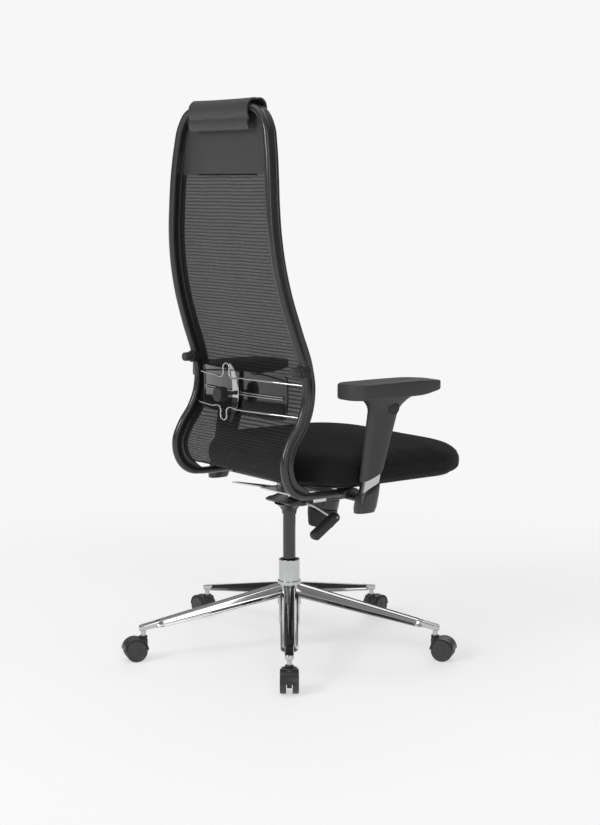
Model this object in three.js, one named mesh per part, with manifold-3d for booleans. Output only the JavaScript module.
// Swivel office chair: a mesh back on one bent tube frame, a padded seat on a tilting plate, a gas
// spring, a five-arm metal base and twin-wheel casters. Millimetres, +Z up, the floor at z = 0.
// The sitter faces -Y, so the sitter's left is +X. Heights are measured from the floor.
import * as THREE from "three";
import { mergeVertices } from "three/addons/utils/BufferGeometryUtils.js";
import Module from "manifold-3d";

const wasm = await Module();
wasm.setup();

// ---------------------------------------------------------------- driving dimensions
const FIT = 0.3; // gap kept between pieces that touch on the real chair
const MIDDLE = [-29.45, 0.75, 0]; // the swivel axis, seen from under the middle of the whole chair

const ARMS = 5;
const FIRST_ARM = 143.55; // direction of the first base arm, degrees from +X
const STEM_CIRCLE = 330; // radius of the circle of caster stems
const ARM_TOP = { hub: 149.5, slope: -0.22 }; // height of an arm's top over its radius
const ARM_FOOT = { hub: 122, slope: -0.17 }; // height of its lower edge
const COLUMN = { radius: 23, foot: 45, top: 199 };
const LIFT = { radius: 14, foot: 145, top: 331 }; // moving gas cylinder

const WHEEL = { radius: 23.5, width: 13.5, gap: 12, trail: 18 };
const STEM_RADIUS = 5.5;

const PIVOT = { y: -45, z: 338, radius: 5 }; // tilt axis of the seat plate
// The tension knob leans with the axis of the coil spring that it presses.
const KNOB = { y: -87.5, z: 260.5, height: 41, lean: 0.13 };
const PLATE = { z: 352, thick: 3 };

const SEAT = { width: 494, front: -335, rear: 97, corner: 105, foot: 395, side: 36, crown: 51 };
const PAN = { z: 390, thick: 4.5, inset: 22 };

const TUBE = { radius: 8, bead: 5.2, beadShift: -18 }; // back frame: round tube with a bead in front
const FRAME_TOP = 1172;
const RUNNER = { x: 200, z: 378, front: 24 };

const SHEET = { thick: 2, shift: -20, inset: 8.2 }; // mesh panel behind the sitter
const HEAD = { foot: 1034, top: 1160 };

const ROD_RADIUS = 2.3;
const CLAMP = { x: 200, z: 637, front: 101, rear: 123.5 }; // grips the frame's side tube
const ARMREST_X = 268;
const BEAM = { half: 258, front: -18, rear: 14, bottom: 366, top: 372 };
const EYE = { x: 207, y: 1.5, z: 377, radius: 12.5, length: 34, stretch: 1.6 };
const SHOE = { bottom: 345, top: 394, halfX: 15, halfY: 27, slant: -0.4 }; // holds the post's foot
const POST = { lean: [0, -0.227, 0.974], foot: [0, 0, 372], half: [9, 22] };
const PAD = { width: 85, front: -181, rear: 61, foot: 582, top: 614 };

// ---------------------------------------------------------------- finishes
function finish(color, roughness, metalness) {
  return () => new THREE.MeshStandardMaterial({ color, roughness, metalness });
}
const chrome = finish(0xd8dadc, 0.1, 1);
const steel = finish(0xa9abad, 0.35, 1);
const blackSteel = finish(0x2a2b2d, 0.4, 0.6);
const blackPlastic = finish(0x2c2d2f, 0.55, 0);
const glossPlastic = finish(0x1d1e20, 0.15, 0);
const softPlastic = finish(0x37383a, 0.7, 0);
const tread = finish(0x303133, 0.6, 0);
const meshCloth = finish(0x4a4b4d, 0.9, 0);
const seatCloth = finish(0x191a1b, 0.95, 0);
const leatherette = finish(0x3b3c3e, 0.6, 0);

// ---------------------------------------------------------------- shape helpers
const root = new THREE.Group();
root.position.set(...MIDDLE);

function piece(name, geometry, material, holder = root) {
  const mesh = new THREE.Mesh(geometry, material());
  mesh.name = name;
  holder.add(mesh);
  return mesh;
}

function group(holder = root) {
  const made = new THREE.Group();
  holder.add(made);
  return made;
}

function toSolid(geometry) {
  const plain = geometry.clone();
  plain.deleteAttribute("normal");
  plain.deleteAttribute("uv");
  const merged = mergeVertices(plain, 1e-3);
  const mesh = new wasm.Mesh({
    numProp: 3,
    vertProperties: new Float32Array(merged.attributes.position.array),
    triVerts: new Uint32Array(merged.index.array),
  });
  return new wasm.Manifold(mesh);
}

function toGeometry(solid) {
  const mesh = solid.getMesh();
  const geometry = new THREE.BufferGeometry();
  geometry.setAttribute("position", new THREE.BufferAttribute(mesh.vertProperties, 3));
  geometry.setIndex(new THREE.BufferAttribute(mesh.triVerts, 1));
  geometry.computeVertexNormals();
  return geometry;
}

function join(...geometries) {
  return toGeometry(geometries.map(toSolid).reduce((whole, part) => whole.add(part)));
}

function cut(geometry, ...tools) {
  return toGeometry(tools.map(toSolid).reduce((whole, tool) => whole.subtract(tool), toSolid(geometry)));
}

function box(x0, x1, y0, y1, z0, z1) {
  const made = new THREE.BoxGeometry(x1 - x0, y1 - y0, z1 - z0);
  return made.translate((x0 + x1) / 2, (y0 + y1) / 2, (z0 + z1) / 2);
}

// A box whose six faces follow two rectangles, [x, z] half sizes and centres, at two places along Y.
function taper(near, far) {
  const made = new THREE.BoxGeometry(2, 2, 2);
  const spots = made.attributes.position;
  for (let i = 0; i < spots.count; i += 1) {
    const end = spots.getY(i) < 0 ? near : far;
    const x = end.x + spots.getX(i) * (spots.getZ(i) > 0 ? end.topHalf : end.footHalf);
    spots.setXYZ(i, x, end.y, spots.getZ(i) > 0 ? end.top : end.foot);
  }
  return made;
}

// A rod between two points, round, with its own end radii.
function rod(from, to, radius, sides = 16, endRadius = radius) {
  const a = new THREE.Vector3(...from);
  const b = new THREE.Vector3(...to);
  const along = b.clone().sub(a);
  const made = new THREE.CylinderGeometry(endRadius, radius, along.length(), sides);
  const turn = new THREE.Quaternion().setFromUnitVectors(new THREE.Vector3(0, 1, 0), along.normalize());
  const middle = a.add(b).multiplyScalar(0.5);
  return made.applyQuaternion(turn).translate(...middle.toArray());
}

// A turned piece about Z from [radius, height] points that start and end on the axis or close up.
function turned(profile, sides = 20) {
  const points = profile.map(([r, z]) => new THREE.Vector2(r, z));
  return new THREE.LatheGeometry(points, sides).rotateX(Math.PI / 2);
}

function ring(inner, outer, foot, top, sides = 20) {
  const corners = [[inner, foot], [outer, foot], [outer, top], [inner, top], [inner, foot]];
  return turned(corners, sides);
}

function circleShape(radius, sides) {
  const points = [];
  for (let i = 0; i < sides; i += 1) {
    const a = (2 * Math.PI * i) / sides;
    points.push(new THREE.Vector2(radius * Math.cos(a), radius * Math.sin(a)));
  }
  return new THREE.Shape(points);
}

function wire(points, radius, steps, sides = 6) {
  const path = new THREE.CatmullRomCurve3(points.map((p) => new THREE.Vector3(...p)), false, "centripetal");
  return new THREE.ExtrudeGeometry(circleShape(radius, sides), { steps, extrudePath: path });
}

function roundedOutline(x0, x1, y0, y1, corner) {
  const shape = new THREE.Shape();
  shape.moveTo(x0 + corner, y0);
  shape.absarc(x1 - corner, y0 + corner, corner, -Math.PI / 2, 0);
  shape.absarc(x1 - corner, y1 - corner, corner, 0, Math.PI / 2);
  shape.absarc(x0 + corner, y1 - corner, corner, Math.PI / 2, Math.PI);
  shape.absarc(x0 + corner, y0 + corner, corner, Math.PI, 1.5 * Math.PI);
  return shape;
}

// A flat slab with a rounded outline and rounded upper and lower edges.
function slab(outline, foot, top, bevel, curveSegments = 5, bevelSegments = 2) {
  const made = new THREE.ExtrudeGeometry(outline, {
    depth: top - foot - 2 * bevel,
    bevelEnabled: true,
    bevelThickness: bevel,
    bevelSize: bevel,
    bevelOffset: -bevel,
    bevelSegments,
    curveSegments,
  });
  return made.translate(0, 0, foot + bevel);
}

// A plate of a [y, z] outline, as wide in X as asked.
function crossPlate(points, x0, x1) {
  const shape = new THREE.Shape(points.map(([y, z]) => new THREE.Vector2(y, z)));
  const made = new THREE.ExtrudeGeometry(shape, { depth: x1 - x0, bevelEnabled: false });
  made.rotateX(Math.PI / 2).rotateZ(Math.PI / 2);
  return made.translate(x0, 0, 0);
}

function shift(geometry, place) {
  const spots = geometry.attributes.position;
  for (let i = 0; i < spots.count; i += 1) {
    spots.setXYZ(i, ...place(spots.getX(i), spots.getY(i), spots.getZ(i)));
  }
  return geometry;
}

// ---------------------------------------------------------------- base, column and gas spring
function armGeometry() {
  const section = (radius, topHalf, footHalf) => ({
    x: 0,
    y: radius,
    topHalf,
    footHalf,
    top: ARM_TOP.hub + ARM_TOP.slope * radius,
    foot: ARM_FOOT.hub + ARM_FOOT.slope * radius,
  });
  const reach = STEM_CIRCLE - 28;
  const body = taper(section(8, 12, 21), section(reach, 11, 18));
  const nose = taper(section(reach - 6, 10, 10), section(STEM_CIRCLE, 9, 9));
  const tip = section(STEM_CIRCLE, 0, 0);
  const eye = new THREE.CylinderGeometry(9.5, 9.5, tip.top - tip.foot + 4, 12);
  eye.rotateX(Math.PI / 2).translate(0, STEM_CIRCLE, (tip.top + tip.foot) / 2 - 2);
  return join(body, nose, eye);
}

function buildBase() {
  const hub = ring(18, 25.6, 98, 152, 28);
  const arms = [];
  const sockets = [];
  for (let i = 0; i < ARMS; i += 1) {
    const turn = THREE.MathUtils.degToRad(FIRST_ARM + (360 / ARMS) * i - 90);
    arms.push(armGeometry().rotateZ(turn));
    const socket = new THREE.CylinderGeometry(STEM_RADIUS + FIT, STEM_RADIUS + FIT, 40, 10);
    sockets.push(socket.rotateX(Math.PI / 2).translate(0, STEM_CIRCLE, 52).rotateZ(turn));
  }
  const bore = new THREE.CylinderGeometry(COLUMN.radius + FIT, COLUMN.radius + FIT, 200, 28);
  bore.rotateX(Math.PI / 2).translate(0, 0, 130);
  piece("star_base", cut(join(hub, ...arms), bore, ...sockets), chrome);

  const wall = 2.5;
  const floor = COLUMN.foot + 4;
  const column = [
    [STEM_RADIUS, COLUMN.foot], [COLUMN.radius - 3, COLUMN.foot], [COLUMN.radius, COLUMN.foot + 12],
    [COLUMN.radius, COLUMN.top], [COLUMN.radius - wall, COLUMN.top], [COLUMN.radius - wall, floor + 8],
    [STEM_RADIUS, floor], [STEM_RADIUS, COLUMN.foot],
  ];
  piece("column_tube", turned(column, 28), chrome);
  const bush = ring(LIFT.radius + FIT, COLUMN.radius - wall - FIT, 162, COLUMN.top - 1, 24);
  piece("column_bush", bush, blackPlastic);

  const bore2 = LIFT.radius - 2;
  const cylinder = [
    [4.4, LIFT.foot], [LIFT.radius - 1, LIFT.foot], [LIFT.radius, LIFT.foot + 2], [LIFT.radius, 312],
    [LIFT.radius - 2, LIFT.top], [0, LIFT.top], [0, LIFT.top - 12], [bore2, LIFT.top - 20],
    [bore2, LIFT.foot + 10], [4.4, LIFT.foot + 10], [4.4, LIFT.foot],
  ];
  piece("gas_cylinder", turned(cylinder, 24), glossPlastic);
  const piston = [
    [0, COLUMN.foot - 3], [4, COLUMN.foot - 3], [4, 198], [bore2 - 0.5, 199], [bore2 - 0.5, 208], [0, 208],
  ];
  piece("piston_rod", turned(piston, 12), steel);
  piece("thrust_bearing", ring(4.5, 14, floor + 8.4, floor + 13.6, 14), steel);
}

// ---------------------------------------------------------------- casters
// The hood covers the rear of both wheels: one disc-shaped shell with a slot for each wheel.
function hoodGeometry() {
  const { radius, width, gap, trail } = WHEEL;
  const half = gap / 2 + width;
  const shell = new THREE.CylinderGeometry(radius + 3, radius + 3, 2 * half - 1, 20);
  shell.rotateZ(Math.PI / 2).translate(0, trail, radius);
  const cheek = box(-half + 4, half - 4, -7, trail, radius + 4, radius + 26.5);
  const low = box(-50, 50, -50, 100, -20, radius + 2);
  const tools = [low];
  [-1, 1].forEach((side) => {
    const well = new THREE.CylinderGeometry(radius + FIT + 0.6, radius + FIT + 0.6, width + 2, 20);
    tools.push(well.rotateZ(Math.PI / 2).translate(side * (gap / 2 + width / 2 + 0.5), trail, radius));
  });
  const web = box(-gap / 2 + 1, gap / 2 - 1, -7, trail + 14, 14, radius + 8);
  const collar = new THREE.CylinderGeometry(9, 9, 8, 12).rotateX(Math.PI / 2).translate(0, 0, radius + 26);
  const stem = new THREE.CylinderGeometry(STEM_RADIUS + FIT, STEM_RADIUS + FIT, 60, 10);
  stem.rotateX(Math.PI / 2).translate(0, 0, 66);
  const axle = rod([-half, trail, radius], [half, trail, radius], 3.4, 10);
  const body = cut(join(shell, cheek, collar), ...tools);
  return cut(join(body, web), stem, axle);
}

function wheelGeometry(side) {
  const { radius, width, gap, trail } = WHEEL;
  const inner = gap / 2 + 0.4;
  const outer = gap / 2 + width;
  const profile = [
    [0, inner], [radius - 1, inner], [radius, inner + 1.5], [radius, outer - 2.5], [radius - 2, outer - 0.5],
    [radius - 4, outer], [0, outer],
  ];
  const wheel = turned(profile, 20).rotateY((side * Math.PI) / 2);
  return wheel.translate(0, trail, radius);
}

function buildCasters() {
  for (let i = 0; i < ARMS; i += 1) {
    const degrees = FIRST_ARM + (360 / ARMS) * i;
    const turn = THREE.MathUtils.degToRad(degrees);
    const caster = group();
    caster.position.set(STEM_CIRCLE * Math.cos(turn), STEM_CIRCLE * Math.sin(turn), 0);
    caster.rotation.z = turn - Math.PI / 2;
    const tag = "caster_" + (i + 1);
    const stem = turned([[0, 38], [STEM_RADIUS, 38], [STEM_RADIUS, 70], [0, 70]], 10);
    piece(tag + "_stem", stem, chrome, caster);
    piece(tag + "_hood", hoodGeometry(), blackPlastic, caster);
    piece(tag + "_wheel_a", wheelGeometry(-1), tread, caster);
    const axle = rod([-5.9, WHEEL.trail, WHEEL.radius], [8, WHEEL.trail, WHEEL.radius], 3, 8);
    piece(tag + "_wheel_b", join(wheelGeometry(1), axle), tread, caster);
  }
}

// ---------------------------------------------------------------- tilt mechanism
function buildMechanism() {
  const side = [
    [-126, 326], [-4, 322], [28, 325], [34, 331], [16, 335], [-32, 346], [-60, 349], [-126, 344],
  ];
  const boot = turned([[0, 300], [15.5, 300], [17, 309], [24, 318], [34, 324], [0, 324]], 24);
  const onKnobAxis = (geometry) => geometry.rotateX(KNOB.lean).translate(0, KNOB.y, KNOB.z);
  const rim = KNOB.height + 2 * FIT;
  const cup = onKnobAxis(turned([[0, rim], [34, rim], [36, rim + 21], [0, rim + 25]], 28));
  const socket = new THREE.CylinderGeometry(LIFT.radius + FIT, LIFT.radius + FIT, 60, 24);
  socket.rotateX(Math.PI / 2).translate(0, 0, 302);
  const axle = rod([-60, PIVOT.y, PIVOT.z], [60, PIVOT.y, PIVOT.z], PIVOT.radius + FIT);
  const body = join(crossPlate(side, -46, 46), boot, cup);
  piece("mechanism_housing", cut(body, socket, axle), blackSteel);
  piece("pivot_shaft", rod([-53, PIVOT.y, PIVOT.z], [53, PIVOT.y, PIVOT.z], PIVOT.radius), steel);

  const grip = [[0, 0], [26, 0], [29, 5], [33, 30], [33.5, KNOB.height], [0, KNOB.height]];
  piece("tension_knob", onKnobAxis(turned(grip, 24)), blackPlastic);

  const lever = [[-46.6, -9, 331], [-90, -9, 326], [-130, -9, 317], [-161.5, -9, 315]];
  piece("lift_lever_rod", wire(lever, 4, 12, 10), steel);
  const paddle = slab(roundedOutline(-8, 70, -10, 10, 8), -10, 10, 4, 3);
  paddle.rotateX(Math.PI / 2).rotateZ(Math.PI / 2).rotateX(-0.576).translate(-150, -9, 315);
  piece("lift_lever_paddle", cut(paddle, rod([-120, -9, 317.8], [-170, -9, 314.6], 4.8)), blackPlastic);
}

function plateGeometry() {
  const top = PLATE.z + PLATE.thick;
  const middle = box(-55, 55, -130, 40, PLATE.z, top);
  const pieces = [middle];
  [-1, 1].forEach((side) => {
    const lug = [[-62, 328], [-28, 328], [-24, top], [-68, top]];
    pieces.push(crossPlate(lug, side > 0 ? 47 : -51, side > 0 ? 51 : -47));
    pieces.push(rod([side * 36, -3, top - 1], [side * 36, -3, 365.7], 9));
    [[15, 75], [-110, -150]].forEach(([near, far]) => {
      const half = far > near ? 17 : -17;
      const wing = new THREE.Shape([
        new THREE.Vector2(side * 40, near - half), new THREE.Vector2(side * 50, near + half),
        new THREE.Vector2(side * 104, far + half * 0.3), new THREE.Vector2(side * 98, far - half * 0.5),
      ]);
      const made = new THREE.ExtrudeGeometry(wing, { depth: PLATE.thick, bevelEnabled: false });
      const rise = (x) => PLATE.z + 9 * Math.max(0, (Math.abs(x) - 45) / 55);
      pieces.push(shift(made, (x, y, z) => [x, y, z + rise(x)]));
    });
  });
  const axle = rod([-60, PIVOT.y, PIVOT.z], [60, PIVOT.y, PIVOT.z], PIVOT.radius + FIT);
  return cut(join(...pieces), axle);
}

// ---------------------------------------------------------------- seat
function buildSeat() {
  piece("seat_plate", plateGeometry(), steel);
  const half = SEAT.width / 2;
  const pan = roundedOutline(-half + PAN.inset, half - PAN.inset, SEAT.front + PAN.inset,
    SEAT.rear - PAN.inset, SEAT.corner - PAN.inset);
  piece("seat_pan", slab(pan, PAN.z, PAN.z + PAN.thick, 1.5, 5, 1), blackPlastic);

  const outline = roundedOutline(-half, half, SEAT.front, SEAT.rear, SEAT.corner);
  const foot = SEAT.foot;
  const top = foot + SEAT.side;
  const cushion = new THREE.ExtrudeGeometry(outline, {
    depth: SEAT.side - 28, bevelEnabled: true, bevelThickness: 14, bevelSize: 12, bevelOffset: -12,
    bevelSegments: 2, curveSegments: 6,
  });
  cushion.translate(0, 0, foot + 14);
  const dome = turned([[0, 0], [1, 0], [0.9, 0.36], [0.66, 0.7], [0.36, 0.92], [0, 1]], 24);
  dome.scale(half - 16, (SEAT.rear - SEAT.front) / 2 - 14, SEAT.crown);
  dome.translate(0, (SEAT.rear + SEAT.front) / 2, top - 3);
  piece("seat_cushion", join(cushion, dome), seatCloth);
}

// ---------------------------------------------------------------- back frame
// Half of the frame's centre line, from the middle of the top down one side, round the bend under
// the back and forward beneath the seat: [half width, y, z].
const FRAME_LINE = [
  [0, 171, FRAME_TOP], [50, 171, FRAME_TOP], [98, 171.5, FRAME_TOP - 1], [133, 172, FRAME_TOP - 14],
  [155, 173, FRAME_TOP - 42], [165, 175, FRAME_TOP - 80], [174, 178, 1032], [179, 179.3, 972],
  [184.3, 178.2, 912], [189.1, 172, 852], [193.4, 160, 792], [198.2, 135.5, 712], [200, 111, 640],
  [199.6, 104.8, 600], [199.3, 109.5, 560], [199.3, 124, 526], [199.8, 148, 492], [203, 162.5, 452],
  [203.4, 160, 424], [202, 146, 397], [201, 125, 383], [200.4, 100, 379], [RUNNER.x, 70, RUNNER.z],
  [RUNNER.x, RUNNER.front, RUNNER.z],
];

// A path whose cross-section keeps its second axis towards the rear of the chair.
class SteadyPath extends THREE.CatmullRomCurve3 {
  computeFrenetFrames(segments) {
    const frames = { tangents: [], normals: [], binormals: [] };
    let rear = new THREE.Vector3(0, 1, 0);
    for (let i = 0; i <= segments; i += 1) {
      const along = this.getTangentAt(i / segments);
      rear = rear.clone().addScaledVector(along, -rear.dot(along)).normalize();
      frames.tangents.push(along);
      frames.binormals.push(rear);
      frames.normals.push(rear.clone().cross(along));
    }
    return frames;
  }
}

function frameCurve(side) {
  const spots = FRAME_LINE.map(([x, y, z]) => new THREE.Vector3(side * x, y, z));
  return new SteadyPath(spots, false, "centripetal");
}

function frameSection(margin = 0) {
  const points = [];
  const lobe = (radius, shiftY, from, to, count) => {
    for (let i = 0; i < count; i += 1) {
      const a = THREE.MathUtils.degToRad(from + ((to - from) * i) / (count - 1));
      points.push(new THREE.Vector2(radius * Math.cos(a), shiftY + radius * Math.sin(a)));
    }
  };
  lobe(TUBE.radius + margin, 0, -45, 225, 7);
  lobe(TUBE.bead + margin, TUBE.beadShift, 150, 390, 5);
  return new THREE.Shape(points);
}

// The bead ends where the mesh ends: beyond the lower bend only the round tube runs on.
function endBead(x, y, z) {
  if (z > 410 || z < RUNNER.z + 4) return [x, y, z];
  const share = THREE.MathUtils.smoothstep(y, 92, 122);
  return [x, y, RUNNER.z + (z - RUNNER.z) * (0.33 + 0.67 * share)];
}

function frameHalf(side) {
  const path = frameCurve(side);
  const made = new THREE.ExtrudeGeometry(frameSection(), { steps: 48, extrudePath: path });
  shift(made, endBead);
  const trim = side > 0 ? box(-20, FIT / 2, 100, 250, 1100, 1250) : box(-FIT / 2, 20, 100, 250, 1100, 1250);
  return cut(made, trim);
}

// The points of the frame's side between two heights, moved at right angles to the frame.
function backLine(from, to, offset, count) {
  const path = frameCurve(1);
  const out = [];
  for (let i = 0; i < count; i += 1) {
    const u = from + ((to - from) * i) / (count - 1);
    const at = path.getPointAt(u);
    const along = path.getTangentAt(u);
    const across = new THREE.Vector2(-along.z, along.y).normalize();
    out.push([at.y + across.x * offset, at.z + across.y * offset, at.x]);
  }
  return out;
}

function lengthFor(height) {
  const path = frameCurve(1);
  for (let i = 100; i < 1000; i += 1) {
    if (path.getPointAt(i / 1000).z <= height) return i / 1000;
  }
  return 1;
}

function sheetGeometry(fromZ, endShare, offset, thick, inset, count) {
  const start = lengthFor(fromZ);
  const rear = backLine(start, endShare, offset, count);
  const front = backLine(start, endShare, offset - thick, count);
  const outline = [...rear, ...front.reverse()].map(([y, z]) => [y, z]);
  const made = crossPlate(outline, -1, 1);
  const halfAt = (y, z) => {
    let best = rear[0];
    rear.forEach((spot) => {
      const nearer = Math.hypot(spot[0] - y, spot[1] - z) < Math.hypot(best[0] - y, best[1] - z);
      if (nearer) best = spot;
    });
    return best[2] - inset;
  };
  return shift(made, (x, y, z) => [Math.sign(x) * halfAt(y, z), y, z]);
}

function buildBack() {
  piece("back_frame_left", frameHalf(1), blackSteel);
  piece("back_frame_right", frameHalf(-1), blackSteel);
  const sheet = sheetGeometry(HEAD.foot - 4, 0.905, SHEET.shift, SHEET.thick, SHEET.inset, 30);
  piece("mesh_panel", sheet, meshCloth);

  const narrow = (x, y, z) => [x * (1 - (0.08 * (z - HEAD.foot)) / (HEAD.top - HEAD.foot)), y, z];
  const panel = slab(roundedOutline(-162, 162, HEAD.foot, HEAD.top, 56), -1.5, 1.5, 1, 4, 1);
  piece("head_panel", shift(panel.rotateX(Math.PI / 2), narrow).translate(0, 158.5, 0), leatherette);
  const pad = slab(roundedOutline(-160, 160, HEAD.foot + 6, HEAD.top, 54), -8, 8, 5, 4, 2);
  piece("head_cushion", shift(pad.rotateX(Math.PI / 2), narrow).translate(0, 147.5, 0), leatherette);

  const rear = 184.5;
  const front = 133;
  const top = 1189;
  const strap = [
    [rear, 1118], [rear, top - 12], [rear - 5, top - 3], [rear - 12, top], [front + 12, top],
    [front + 4, top - 3], [front, top - 12], [front, 1128], [front + 3, 1128], [front + 3, top - 13],
    [front + 12, top - 4], [rear - 13, top - 4], [rear - 4, top - 13], [rear - 4, 1118],
  ];
  piece("head_strap", crossPlate(strap, -107, 107), leatherette);
}

// ---------------------------------------------------------------- lumbar support
// A spring-steel rod across the back, bowed to the rear, with one loop in its middle.
function lumbarRod(endX, endY, z, loop) {
  const bow = 60;
  const rise = 7;
  const at = (x) => {
    const share = 1 - (x / endX) ** 2;
    return [x, endY + bow * share, z + rise * share];
  };
  const half = [at(-endX), at(-endX * 0.75), at(-endX * 0.5), at(-endX * 0.25), at(-18)];
  const leg = at(-11);
  half.push([leg[0], leg[1], leg[2] + Math.sign(loop) * 5], [-11, leg[1], leg[2] + loop * 0.75]);
  const crest = [0, leg[1], leg[2] + loop];
  const other = half.map(([x, y, height]) => [-x, y, height]).reverse();
  return wire([...half, crest, ...other], ROD_RADIUS, 40, 5);
}

// How far the lumbar plate stands back at a height: it leans with the lower back.
function lean(z) {
  return z < 577 ? ((577 - z) / 45) ** 2 * 8 : ((z - 577) / 45) ** 2 * 2;
}

function lumbarPlate() {
  const halfSpan = 150;
  const sag = (x) => 134 - 16 * (x / halfSpan) ** 2;
  const points = [];
  const count = 11;
  for (let i = 0; i < count; i += 1) {
    const x = -halfSpan + (2 * halfSpan * i) / (count - 1);
    points.push(new THREE.Vector2(x, sag(x)));
  }
  const back = points.map((p) => new THREE.Vector2(p.x, p.y - 3)).reverse();
  const shape = new THREE.Shape([...points, ...back]);
  const panel = new THREE.ExtrudeGeometry(shape, { depth: 92, steps: 4, bevelEnabled: false });
  panel.translate(0, 0, 532);
  const solid = [panel];
  [-1, 1].forEach((side) => {
    const edge = new THREE.CylinderGeometry(3.6, 3.6, 92, 8, 4).rotateX(Math.PI / 2);
    solid.push(edge.translate(side * halfSpan, sag(halfSpan) - 1.5, 578));
  });
  const leaned = solid.map((geometry) => shift(geometry, (x, y, z) => [x, y + lean(z), z]));
  const wires = [-4.5, 4.5].map((dz) => {
    const line = [-144, -100, -50, 0, 50, 100, 144].map((x) => [x, sag(x) + 2.2, 577 + dz]);
    return wire(line, 1.5, 12, 5);
  });
  const ends = [-144, 144].map((x) => rod([x, sag(x) + 2.2, 571], [x, sag(x) + 2.2, 583], 1.6, 8));
  return { panel: join(...leaned), wires: cut(join(...wires, ...ends), ...leaned.map((g) => g.clone())) };
}

function buildLumbar() {
  piece("lumbar_rod_upper", lumbarRod(189.8, 105, 607, 28), chrome);
  piece("lumbar_rod_lower", lumbarRod(189.6, 112, 541, -26), chrome);
  const { panel, wires } = lumbarPlate();
  piece("lumbar_plate", panel, glossPlastic);
  piece("lumbar_plate_wires", wires.translate(0, FIT + 0.2, 0), chrome);

  const leaf = [];
  for (let i = 0; i <= 12; i += 1) {
    const share = (i - 6) / 6;
    leaf.push([142 + 14 * share ** 2, 577 + 63 * share]);
  }
  const inner = leaf.map(([y, z]) => [y - 2, z]).reverse();
  const taperLeaf = (x, y, z) => [x * (1 - 0.75 * ((z - 577) / 63) ** 2), y, z];
  const strip = shift(crossPlate([...leaf, ...inner], -10, 10), taperLeaf);
  piece("lumbar_leaf_spring", cut(strip, rod([0, 120, 577], [0, 160, 577], 5)), chrome);
  const knob = join(rod([0, 169.5, 577], [0, 190, 577], 15.5, 24), rod([0, 141, 577], [0, 171, 577], 4, 12));
  piece("lumbar_depth_knob", knob, blackPlastic);

  [["left", 1], ["right", -1]].forEach(([name, side]) => {
    const alongClamp = (y) => [side * CLAMP.x, y, CLAMP.z];
    const grip = rod(alongClamp(CLAMP.front), alongClamp(CLAMP.rear), 13, 24);
    const path = { steps: 60, extrudePath: frameCurve(side) };
    const passage = new THREE.ExtrudeGeometry(frameSection(FIT), path);
    piece("lumbar_clamp_" + name, cut(grip, passage), blackPlastic);
    const dial = rod(alongClamp(CLAMP.rear + FIT), alongClamp(CLAMP.rear + 18), 10.5, 16, 9.2);
    piece("lumbar_side_knob_" + name, dial, softPlastic);
  });
}

// ---------------------------------------------------------------- armrests
function oval(halfX, halfY, count = 16) {
  const points = [];
  for (let i = 0; i < count; i += 1) {
    const a = (2 * Math.PI * i) / count;
    points.push(new THREE.Vector2(halfX * Math.cos(a), halfY * Math.sin(a)));
  }
  return new THREE.Shape(points);
}

// An oval column that follows the leaning post: level returns {halfX, halfY, back, slant} at z, where
// slant tips an end's outline so that it falls towards the rear.
function column(side, foot, top, steps, level) {
  const made = new THREE.ExtrudeGeometry(oval(1, 1), { depth: top - foot, steps, bevelEnabled: false });
  const slope = POST.lean[1] / POST.lean[2];
  return shift(made, (x, y, z) => {
    const height = foot + z;
    const at = level(height);
    const middle = POST.foot[1] + slope * (height - POST.foot[2]) + (at.back ?? 0);
    return [side * ARMREST_X + x * at.halfX, middle + y * at.halfY, height + (at.slant ?? 0) * y * at.halfY];
  });
}

function sleeveLevel(z) {
  const flare = Math.max(0, (z - 548) / 33);
  const halfY = 26.3 + (z - 417) * 0.085 + 26 * flare ** 2.2;
  const halfX = 13 + (z > 500 ? (z - 500) * 0.04 : 0) + 10 * flare ** 2;
  return { halfX, halfY, back: -4 * flare, slant: z < 420 ? -0.35 : 0 };
}

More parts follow.
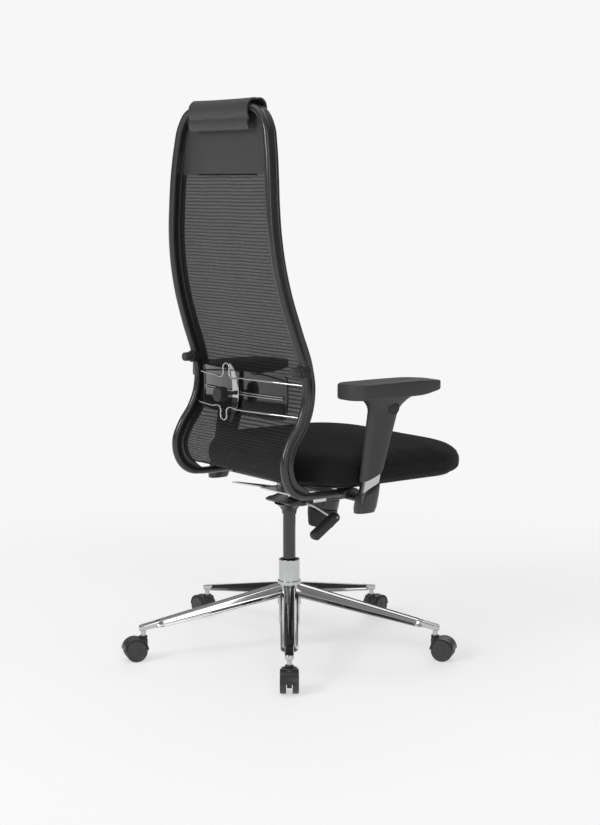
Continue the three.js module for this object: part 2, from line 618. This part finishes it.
function buildArmrest(name, side) {
  const post = column(side, 358, 500, 2, () => ({ halfX: POST.half[0], halfY: POST.half[1] }));
  piece("arm_post_" + name, post, chrome);

  const bore = column(side, 380, 575, 2, () => ({ halfX: POST.half[0] + 0.6, halfY: POST.half[1] + 0.6 }));
  const sleeve = column(side, 417, 581, 10, sleeveLevel);
  const acrossButton = (offset) => [side * (ARMREST_X + offset), -58, 559];
  const well = rod(acrossButton(12.5), acrossButton(22), 11.4, 14);
  piece("arm_sleeve_" + name, cut(sleeve, bore, well), softPlastic);
  piece("arm_button_" + name, rod(acrossButton(15), acrossButton(19), 10.8, 14), blackPlastic);

  const half = PAD.width / 2;
  const outline = roundedOutline(side * ARMREST_X - half, side * ARMREST_X + half, PAD.front, PAD.rear, 24);
  piece("arm_pad_" + name, slab(outline, PAD.foot, PAD.top, 8, 4, 2), softPlastic);
}

// One steel beam under the seat carries both armrests and both runners of the frame.
function beamGeometry() {
  const solid = [box(-BEAM.half, BEAM.half, BEAM.front, BEAM.rear, BEAM.bottom, BEAM.top)];
  const shoes = [];
  [-1, 1].forEach((side) => {
    const eye = new THREE.CylinderGeometry(EYE.radius, EYE.radius, EYE.length, 18).rotateZ(Math.PI / 2);
    solid.push(eye.scale(1, EYE.stretch, 1).translate(side * EYE.x, EYE.y, EYE.z));
    const taper = (z) => (z < SHOE.bottom + 7 ? 3 : 0);
    const slant = (z) => (z > SHOE.top - 5 ? SHOE.slant : 0);
    const shoe = (z) => ({ halfX: SHOE.halfX, halfY: SHOE.halfY - taper(z), slant: slant(z) });
    solid.push(column(side, SHOE.bottom, SHOE.top, 4, shoe));
    const fitted = { halfX: POST.half[0] + FIT, halfY: POST.half[1] + FIT };
    shoes.push(column(side, 357.7, 425, 1, () => fitted));
  });
  return cut(join(...solid), ...shoes);
}

buildBase();
buildCasters();
buildMechanism();
buildSeat();
buildBack();
buildLumbar();
piece("arm_beam", beamGeometry(), blackSteel);
buildArmrest("left", 1);
buildArmrest("right", -1);

export default root;
